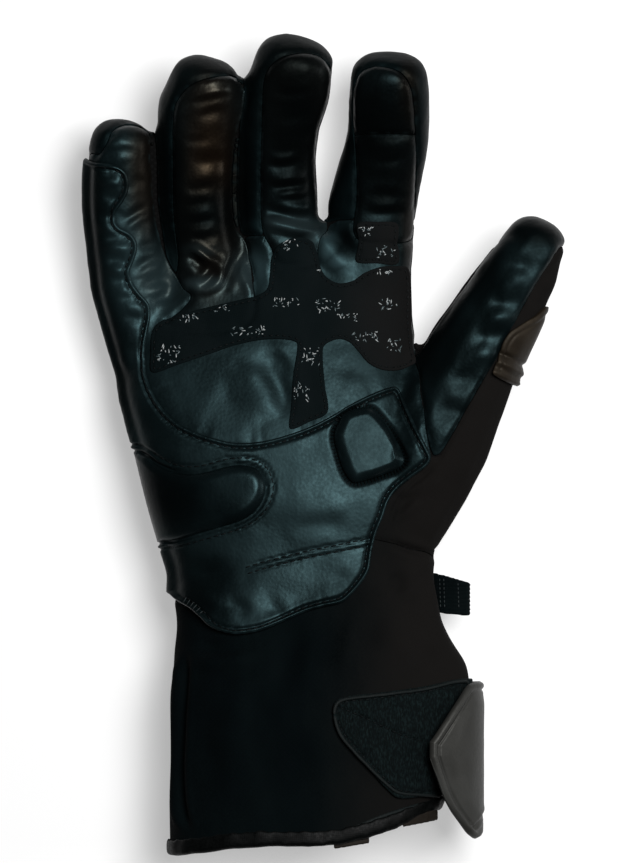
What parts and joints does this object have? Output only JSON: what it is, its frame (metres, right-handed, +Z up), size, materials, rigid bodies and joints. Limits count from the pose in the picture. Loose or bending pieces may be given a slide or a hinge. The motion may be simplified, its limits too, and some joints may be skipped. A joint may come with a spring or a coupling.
{
  "type": "motorcycle gauntlet",
  "caption": "Right-hand leather and textile motorcycle gauntlet glove with a long cuff, palm pads and a closure tab, lying on its back.",
  "frame": {"origin": "on the ground, under the middle of the glove's overall box", "axes": "+Y from the cuff to the fingertips, +X to the thumb's side, +Z up, out of the palm"},
  "size_m": [0.1792, 0.3032, 0.0611],
  "materials": {
    "leather": "semi-gloss black leather",
    "tab_leather": "soft dark grey leather",
    "softshell": "matt black softshell textile",
    "grip": "matt black grip material",
    "loop": "fuzzy black loop fastener",
    "webbing": "woven black webbing",
    "binding": "smooth black binding"
  },
  "bodies": {
    "root": {"back_panel": "leather", "palm_panel": "leather", "finger_front_ring": "leather", "finger_front_middle": "leather", "finger_front_index": "leather", "touch_tip": "leather", "finger_back_little": "leather", "finger_back_ring": "leather", "finger_back_middle": "leather", "finger_back_index": "leather", "thumb_front": "leather", "thumb_side": "softshell", "cuff": "softshell", "heel_panel": "leather", "grip_patch": "grip", "index_grip_patch": "grip", "palm_slider": "leather", "thumb_heel_pad": "leather", "thumb_guard": "leather", "wrist_strap": "webbing", "loop_patch": "loop", "closure_tab": "tab_leather", "hem_binding": "binding", "hem_tab_middle": "binding", "hem_tab_side": "binding"}
  },
  "joints": []
}
